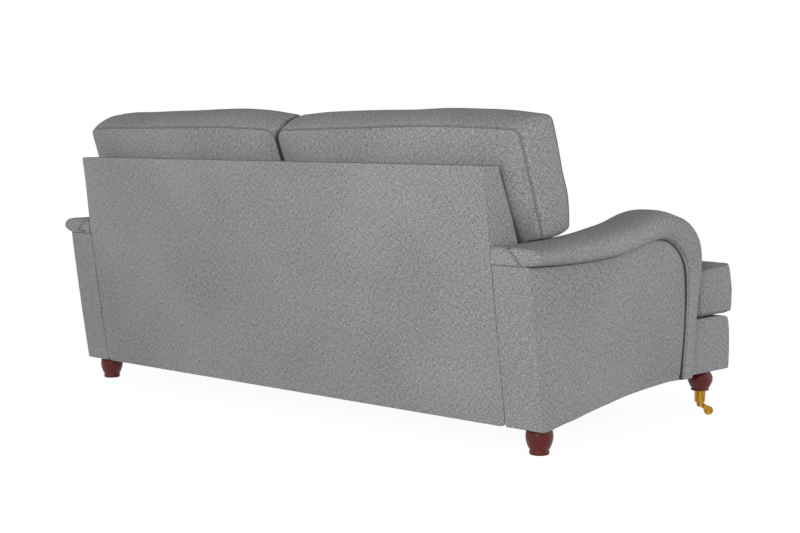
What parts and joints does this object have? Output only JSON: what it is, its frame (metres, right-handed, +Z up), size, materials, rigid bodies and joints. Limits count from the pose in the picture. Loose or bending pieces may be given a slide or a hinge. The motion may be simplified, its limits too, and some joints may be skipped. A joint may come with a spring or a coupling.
{
  "type": "english roll arm sofa",
  "caption": "Upholstered sofa with low rolled arms, loose T-shaped seat cushions, loose box-edged back cushions, turned rear legs and turned front legs on brass cup castors.",
  "frame": {"origin": "on the floor, under the middle of the overall box", "axes": "+X towards the sitter's left arm, -Y the way the sitter faces, +Z up"},
  "size_m": [2, 1.038, 0.8936],
  "materials": {
    "cover_fabric": "heathered mid-grey plain weave",
    "platform_cloth": "plain grey lining cloth",
    "dust_cloth": "black non-woven cloth",
    "jute_webbing": "natural jute",
    "padding": "off-white fibre over foam",
    "cushion_filling": "feather-wrapped foam in ticking",
    "zip_tape": "grey nylon coil zip",
    "frame_timber": "unfinished beech",
    "leg_timber": "satin red-brown mahogany",
    "spring_steel": "bare spring wire",
    "bolt_steel": "zinc-plated",
    "castor_brass": "polished brass"
  },
  "bodies": {
    "sofa_frame": {"front_seat_rail": "frame_timber", "rear_seat_rail": "frame_timber", "seat_stretcher": "frame_timber", "side_seat_rail_left": "frame_timber", "side_seat_rail_right": "frame_timber", "back_top_rail": "frame_timber", "back_lower_rail": "frame_timber", "back_centre_post": "frame_timber", "back_post_left": "frame_timber", "back_post_right": "frame_timber", "arm_top_rail_left": "frame_timber", "arm_top_rail_right": "frame_timber", "arm_front_board_left": "frame_timber", "arm_front_board_right": "frame_timber", "arm_rear_post_left": "frame_timber", "arm_rear_post_right": "frame_timber", "seat_springs": "spring_steel", "back_webbing": "jute_webbing", "deck_pad": "padding", "back_pad": "padding", "arm_pad_left": "padding", "arm_pad_right": "padding", "arm_cover_left": "cover_fabric", "arm_cover_right": "cover_fabric", "outside_arm_cover_left": "cover_fabric", "outside_arm_cover_right": "cover_fabric", "outside_back_cover": "cover_fabric", "inside_back_cover": "cover_fabric", "front_border_cover": "cover_fabric", "deck_cloth": "platform_cloth", "dust_cover": "dust_cloth", "rear_leg_left": "leg_timber", "rear_leg_right": "leg_timber", "rear_leg_bolt_left": "bolt_steel", "rear_leg_bolt_right": "bolt_steel", "front_leg_left": "leg_timber", "front_leg_right": "leg_timber", "front_leg_bolt_left": "bolt_steel", "front_leg_bolt_right": "bolt_steel", "castor_cup_left": "castor_brass", "castor_cup_right": "castor_brass"},
    "seat_cushion_left": {"seat_cushion_cover_left": "cover_fabric", "seat_cushion_core_left": "cushion_filling", "seat_cushion_zip_left": "zip_tape"},
    "seat_cushion_right": {"seat_cushion_cover_right": "cover_fabric", "seat_cushion_core_right": "cushion_filling", "seat_cushion_zip_right": "zip_tape"},
    "back_cushion_left": {"back_cushion_cover_left": "cover_fabric", "back_cushion_core_left": "cushion_filling", "back_cushion_zip_left": "zip_tape"},
    "back_cushion_right": {"back_cushion_cover_right": "cover_fabric", "back_cushion_core_right": "cushion_filling", "back_cushion_zip_right": "zip_tape"},
    "castor_left": {"castor_horn_left": "castor_brass", "castor_axle_left": "castor_brass"},
    "castor_right": {"castor_horn_right": "castor_brass", "castor_axle_right": "castor_brass"},
    "wheel_left": {"castor_wheel_left": "castor_brass"},
    "wheel_right": {"castor_wheel_right": "castor_brass"}
  },
  "joints": [
    {"name": "seat_cushion_left_out", "type": "slide", "parent": "sofa_frame", "child": "seat_cushion_left", "axis": [0, -1, 0], "range_m": [0, 0.85]},
    {"name": "seat_cushion_right_out", "type": "slide", "parent": "sofa_frame", "child": "seat_cushion_right", "axis": [0, -1, 0], "range_m": [0, 0.85]},
    {"name": "back_cushion_left_off", "type": "slide", "parent": "sofa_frame", "child": "back_cushion_left", "axis": [0, 0, 1], "range_m": [0, 0.4]},
    {"name": "back_cushion_right_off", "type": "slide", "parent": "sofa_frame", "child": "back_cushion_right", "axis": [0, 0, 1], "range_m": [0, 0.4]},
    {"name": "castor_left_swivel", "type": "hinge", "parent": "sofa_frame", "child": "castor_left", "pos_m": [0.918, -0.397, 0.038], "axis": [0, 0, 1], "continuous": true},
    {"name": "castor_right_swivel", "type": "hinge", "parent": "sofa_frame", "child": "castor_right", "pos_m": [-0.918, -0.397, 0.038], "axis": [0, 0, 1], "continuous": true},
    {"name": "wheel_left_roll", "type": "hinge", "parent": "castor_left", "child": "wheel_left", "pos_m": [0.93702, -0.41473, 0.0136], "axis": [0.682, 0.7314, 0], "continuous": true},
    {"name": "wheel_right_roll", "type": "hinge", "parent": "castor_right", "child": "wheel_right", "pos_m": [-0.93702, -0.41473, 0.0136], "axis": [0.682, -0.7314, 0], "continuous": true}
  ]
}
